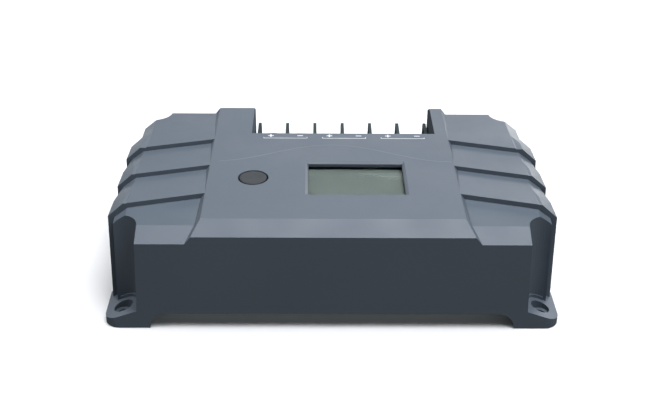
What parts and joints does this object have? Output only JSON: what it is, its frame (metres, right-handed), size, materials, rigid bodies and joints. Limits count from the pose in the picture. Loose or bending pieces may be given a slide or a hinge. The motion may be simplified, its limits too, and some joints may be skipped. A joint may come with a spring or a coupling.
{
  "type": "charge controller",
  "caption": "Wall-mounted solar charge controller: shingled plastic cover over a finned base, with a display, a push button and a bay of screw terminals.",
  "frame": {"origin": "middle of the feet's rectangle, on the plane that the feet stand on", "axes": "+X to the right and +Y towards the terminal bay, seen with the display up; +Z out of the display"},
  "size_m": [0.191, 0.12, 0.0489],
  "materials": {
    "cover": "fine matt moulded texture, blue-grey",
    "button": "satin moulded, darker grey",
    "window": "clear polished",
    "display": "smooth, unlit grey-green",
    "terminal_plastic": "dark slate, lightly glossy",
    "black_plastic": "moulded, satin",
    "aluminium": "extruded, brushed along the fins",
    "steel": "zinc plated",
    "clamp_steel": "zinc plated, pressed",
    "brass": "tinned and bare brass",
    "board": "green solder resist",
    "silicone": "soft, dusty",
    "sleeve": "shrunk film",
    "fuse": "translucent amber"
  },
  "bodies": {
    "housing": {"top_cover": "cover", "base_heatsink": "aluminium", "cover_screw_1": "steel", "cover_screw_2": "steel", "cover_screw_3": "steel", "cover_screw_4": "steel", "board_screw_1": "steel", "board_screw_2": "steel", "board_screw_3": "steel", "board_screw_4": "steel", "display_screw_1": "steel", "display_screw_2": "steel", "board_standoff_1": "brass", "board_standoff_2": "brass", "board_standoff_3": "brass", "board_standoff_4": "brass", "contact_bar_1": "brass", "contact_bar_2": "brass", "contact_bar_3": "brass", "contact_bar_4": "brass", "contact_bar_5": "brass", "contact_bar_6": "brass", "current_shunt": "brass", "main_board": "board", "display_board": "board", "power_transistor_1": "black_plastic", "power_transistor_2": "black_plastic", "power_transistor_3": "black_plastic", "power_transistor_4": "black_plastic", "microcontroller": "black_plastic", "buzzer": "black_plastic", "blocking_diode": "black_plastic", "temperature_sensor": "black_plastic", "board_link": "black_plastic", "lcd_frame": "black_plastic", "switch_body": "black_plastic", "thermal_pad": "silicone", "capacitor_1": "sleeve", "capacitor_2": "sleeve", "fuse_1": "fuse", "fuse_2": "fuse", "lcd_panel": "display", "lcd_window": "window", "terminal_block": "terminal_plastic"},
    "button": {"button_cap": "button", "switch_plunger": "black_plastic"},
    "clamp_1": {"wire_clamp_1": "clamp_steel"},
    "screw_1": {"terminal_screw_1": "steel"},
    "clamp_2": {"wire_clamp_2": "clamp_steel"},
    "screw_2": {"terminal_screw_2": "steel"},
    "clamp_3": {"wire_clamp_3": "clamp_steel"},
    "screw_3": {"terminal_screw_3": "steel"},
    "clamp_4": {"wire_clamp_4": "clamp_steel"},
    "screw_4": {"terminal_screw_4": "steel"},
    "clamp_5": {"wire_clamp_5": "clamp_steel"},
    "screw_5": {"terminal_screw_5": "steel"},
    "clamp_6": {"wire_clamp_6": "clamp_steel"},
    "screw_6": {"terminal_screw_6": "steel"}
  },
  "joints": [
    {"name": "button_press", "type": "slide", "parent": "housing", "child": "button", "axis": [0, 0, 1], "range_m": [-0.001, 0], "stiffness_N_per_m": 300, "springref_m": 0.003},
    {"name": "terminal_1_clamp_lift", "type": "slide", "parent": "housing", "child": "clamp_1", "axis": [0, 0, 1], "range_m": [-0.0059, 0]},
    {"name": "terminal_1_screw_turn", "type": "hinge", "parent": "clamp_1", "child": "screw_1", "pos_m": [-0.02795, 0.048, 0.034], "axis": [0, 0, 1], "range_deg": [-2655.5, 0.5]},
    {"name": "terminal_2_clamp_lift", "type": "slide", "parent": "housing", "child": "clamp_2", "axis": [0, 0, 1], "range_m": [-0.0048, 0.0011]},
    {"name": "terminal_2_screw_turn", "type": "hinge", "parent": "clamp_2", "child": "screw_2", "pos_m": [-0.01445, 0.048, 0.034], "axis": [0, 0, 1], "range_deg": [-2160.5, 495.5]},
    {"name": "terminal_3_clamp_lift", "type": "slide", "parent": "housing", "child": "clamp_3", "axis": [0, 0, 1], "range_m": [-0.0044, 0.0015]},
    {"name": "terminal_3_screw_turn", "type": "hinge", "parent": "clamp_3", "child": "screw_3", "pos_m": [-0.00095, 0.048, 0.034], "axis": [0, 0, 1], "range_deg": [-1980.5, 675.5]},
    {"name": "terminal_4_clamp_lift", "type": "slide", "parent": "housing", "child": "clamp_4", "axis": [0, 0, 1], "range_m": [-0.0044, 0.0015]},
    {"name": "terminal_4_screw_turn", "type": "hinge", "parent": "clamp_4", "child": "screw_4", "pos_m": [0.01255, 0.048, 0.034], "axis": [0, 0, 1], "range_deg": [-1980.5, 675.5]},
    {"name": "terminal_5_clamp_lift", "type": "slide", "parent": "housing", "child": "clamp_5", "axis": [0, 0, 1], "range_m": [-0.0044, 0.0015]},
    {"name": "terminal_5_screw_turn", "type": "hinge", "parent": "clamp_5", "child": "screw_5", "pos_m": [0.02605, 0.048, 0.034], "axis": [0, 0, 1], "range_deg": [-1980.5, 675.5]},
    {"name": "terminal_6_clamp_lift", "type": "slide", "parent": "housing", "child": "clamp_6", "axis": [0, 0, 1], "range_m": [-0.0044, 0.0015]},
    {"name": "terminal_6_screw_turn", "type": "hinge", "parent": "clamp_6", "child": "screw_6", "pos_m": [0.03955, 0.048, 0.034], "axis": [0, 0, 1], "range_deg": [-1980.5, 675.5]}
  ],
  "couplings": [
    {"joint": "terminal_1_screw_turn", "follows": "terminal_1_clamp_lift", "rad_per_m": 7854},
    {"joint": "terminal_2_screw_turn", "follows": "terminal_2_clamp_lift", "rad_per_m": 7854},
    {"joint": "terminal_3_screw_turn", "follows": "terminal_3_clamp_lift", "rad_per_m": 7854},
    {"joint": "terminal_4_screw_turn", "follows": "terminal_4_clamp_lift", "rad_per_m": 7854},
    {"joint": "terminal_5_screw_turn", "follows": "terminal_5_clamp_lift", "rad_per_m": 7854},
    {"joint": "terminal_6_screw_turn", "follows": "terminal_6_clamp_lift", "rad_per_m": 7854}
  ]
}
